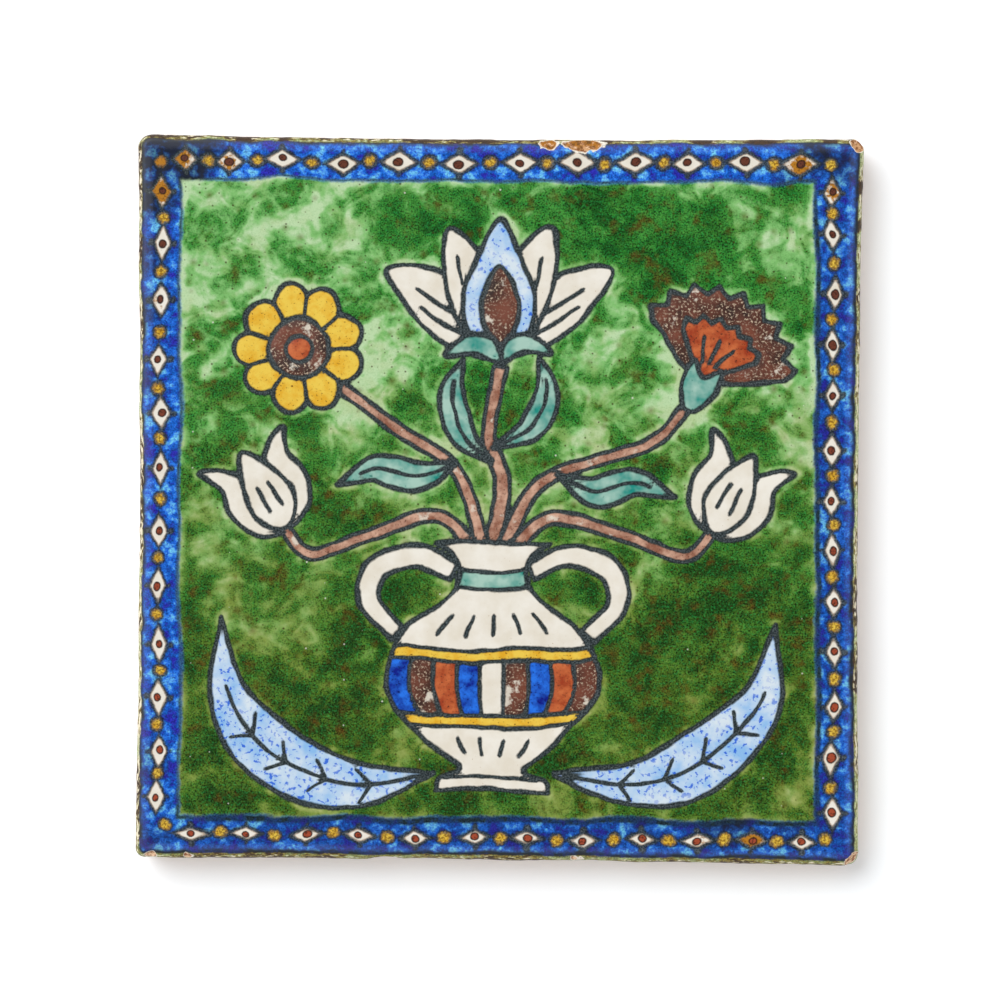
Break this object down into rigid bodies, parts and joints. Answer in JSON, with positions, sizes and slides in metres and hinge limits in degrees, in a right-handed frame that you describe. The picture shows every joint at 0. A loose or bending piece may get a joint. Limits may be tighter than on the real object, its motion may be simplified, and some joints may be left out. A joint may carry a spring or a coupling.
{
  "type": "glazed pottery tile",
  "caption": "Square glazed pottery wall tile with a painted floral field, a blue lozenge and bead border, rounded edges, chipped corners and a flat bedding face.",
  "frame": {"origin": "centre of the tile's outline, on its flat bedding face", "axes": "+Z out of the glazed face, +Y towards the top edge of the design, +X towards its right edge"},
  "size_m": [0.1522, 0.1524, 0.012],
  "materials": {
    "glaze": "gloss"
  },
  "bodies": {
    "root": {"tile": "glaze"}
  },
  "joints": []
}
